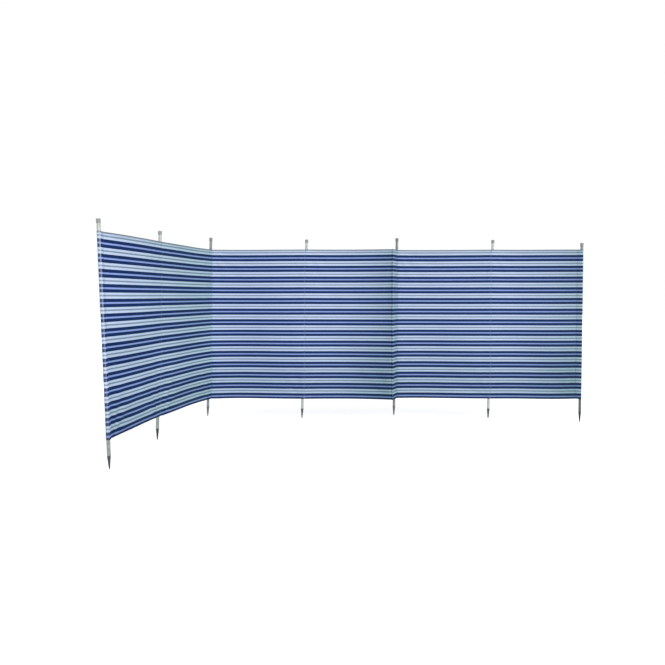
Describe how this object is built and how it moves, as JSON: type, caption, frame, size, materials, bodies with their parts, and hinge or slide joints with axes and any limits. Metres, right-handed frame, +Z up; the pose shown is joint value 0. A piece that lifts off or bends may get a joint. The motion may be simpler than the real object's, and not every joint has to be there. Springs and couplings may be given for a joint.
{
  "type": "beach windbreak",
  "caption": "Striped cloth beach windbreak in upright bays on pegged tube poles, with a wing turned forward at one end to make a sheltered corner.",
  "frame": {"origin": "centre of the blunt tip of the corner pole's ground spike", "axes": "+X along the front wall away from the corner, -Y to the sheltered side where the wing comes forward, +Z up"},
  "size_m": [3.4122, 1.5358, 1.5092],
  "materials": {
    "pole_steel": "dull galvanised tube",
    "spike_plastic": "dark moulded plastic, scuffed",
    "cap_plastic": "dark grey moulded plastic",
    "striped_cloth": "woven cloth with navy, mid blue, pale blue and fine grey stripes"
  },
  "bodies": {
    "root": {"pole_tube_1": "pole_steel", "pole_tube_2": "pole_steel", "pole_tube_3": "pole_steel", "pole_tube_4": "pole_steel", "pole_tube_5": "pole_steel", "pole_tube_6": "pole_steel", "pole_tube_7": "pole_steel", "ground_spike_1": "spike_plastic", "ground_spike_2": "spike_plastic", "ground_spike_3": "spike_plastic", "ground_spike_4": "spike_plastic", "ground_spike_5": "spike_plastic", "ground_spike_6": "spike_plastic", "ground_spike_7": "spike_plastic", "pole_cap_1": "cap_plastic", "pole_cap_2": "cap_plastic", "pole_cap_3": "cap_plastic", "pole_cap_4": "cap_plastic", "pole_cap_5": "cap_plastic", "pole_cap_6": "cap_plastic", "pole_cap_7": "cap_plastic", "pole_sleeve_1": "striped_cloth", "pole_sleeve_2": "striped_cloth", "pole_sleeve_3": "striped_cloth", "pole_sleeve_4": "striped_cloth", "pole_sleeve_5": "striped_cloth", "pole_sleeve_6": "striped_cloth", "pole_sleeve_7": "striped_cloth", "bay_panel_1": "striped_cloth", "bay_panel_2": "striped_cloth", "bay_panel_3": "striped_cloth", "bay_panel_4": "striped_cloth", "bay_panel_5": "striped_cloth", "bay_panel_6": "striped_cloth"}
  },
  "joints": []
}
